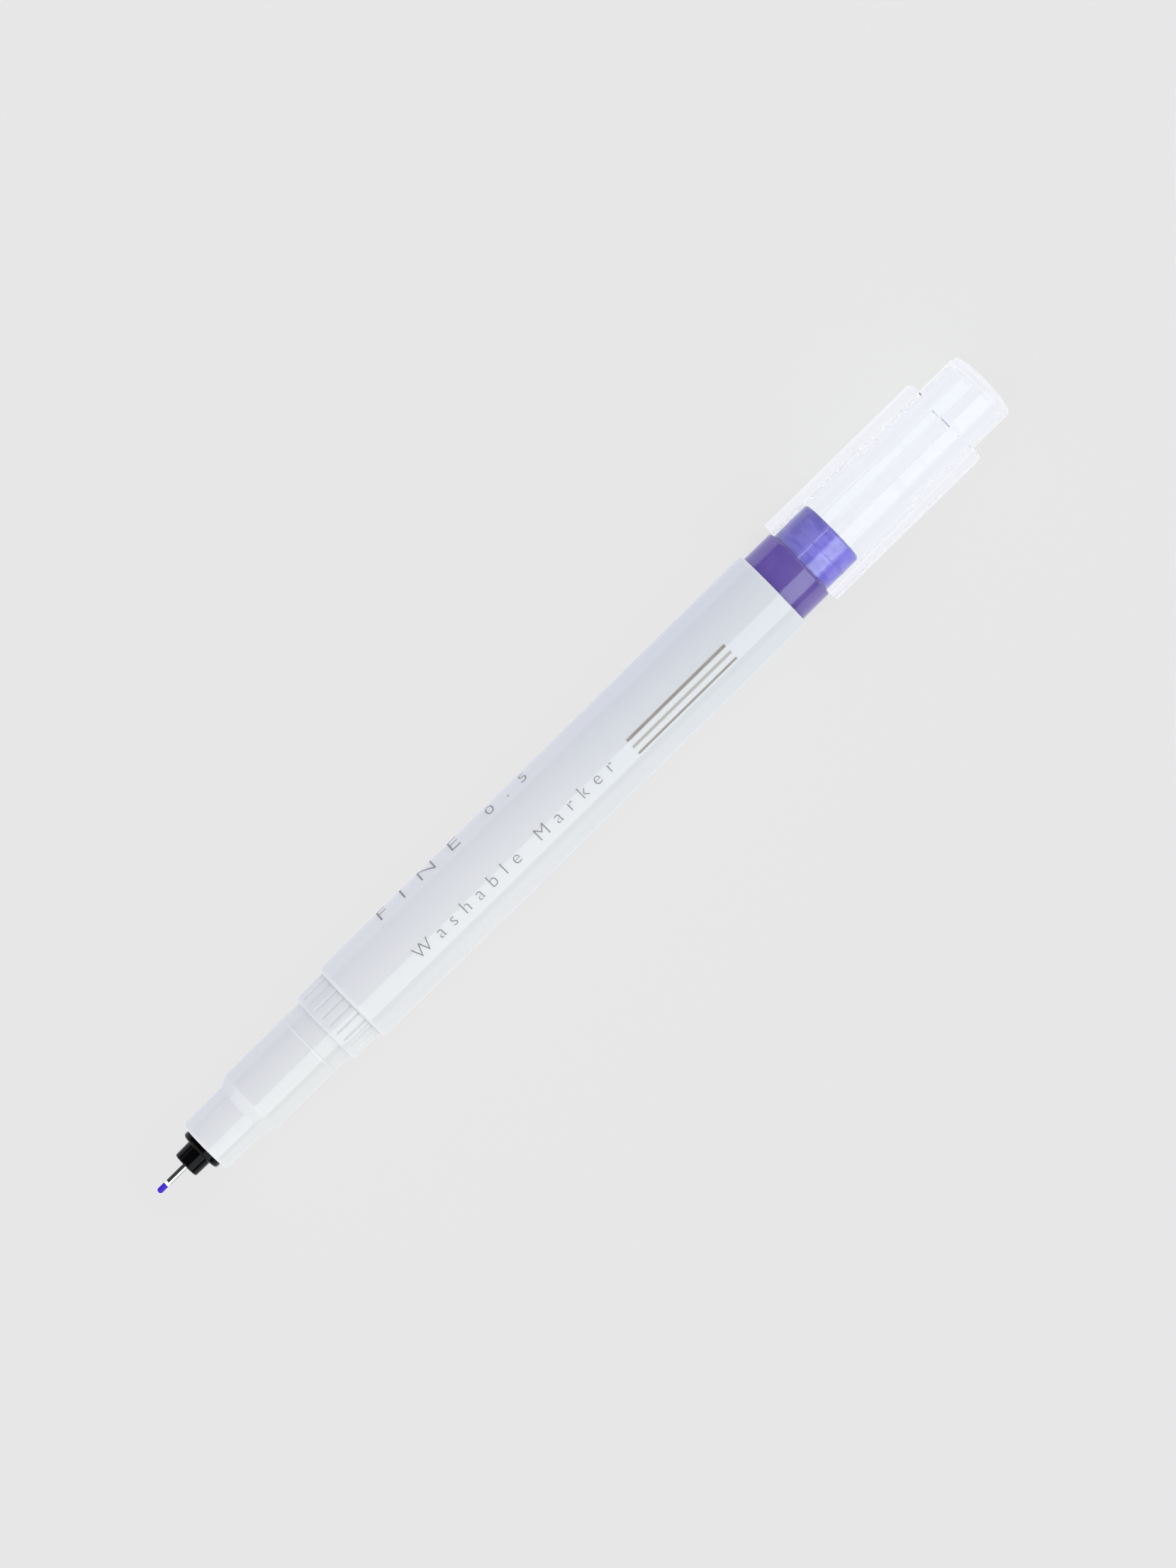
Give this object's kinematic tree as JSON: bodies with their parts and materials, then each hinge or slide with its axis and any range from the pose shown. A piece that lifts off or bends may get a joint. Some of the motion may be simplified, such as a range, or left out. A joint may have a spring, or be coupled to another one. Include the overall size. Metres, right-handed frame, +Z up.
{
  "type": "fabric marking pen",
  "caption": "Slim marking pen for fabric: fine nib in a steel sleeve, smooth section with a grooved collar, plain tube barrel, tail plug, and a finned clear cap pushed onto the tail.",
  "frame": {"origin": "on the surface the pen lies on, midway along the pen's overall length and straight below its axis", "axes": "+X along the pen's axis from the nib to the cap's closed end, +Z up away from the surface, +Y to the left when looking from the nib to the cap"},
  "size_m": [0.153, 0.0136, 0.0137],
  "materials": {
    "nib": "violet porous fibre point, damp with ink",
    "nib_sleeve": "drawn stainless tube, polished, crimped at the mouth",
    "nib_holder": "black moulded plastic, satin gloss",
    "front_section": "cool white moulded plastic, satin gloss",
    "barrel": "cool white extruded plastic, satin gloss, printed in grey",
    "ink_reservoir": "bundled polyester fibre soaked with violet ink",
    "reservoir_wrap": "thin clear film",
    "tail_plug": "purple moulded plastic, satin gloss",
    "cap": "clear moulded plastic with a faint cool tint"
  },
  "bodies": {
    "pen": {"nib": "nib", "nib_sleeve": "nib_sleeve", "nib_holder": "nib_holder", "front_section": "front_section", "barrel": "barrel", "ink_reservoir": "ink_reservoir", "reservoir_wrap": "reservoir_wrap", "tail_plug": "tail_plug"},
    "cap": {"cap": "cap"}
  },
  "joints": [
    {"name": "cap_slide", "type": "slide", "parent": "pen", "child": "cap", "axis": [1, 0, 0], "range_m": [0, 0.015]}
  ]
}
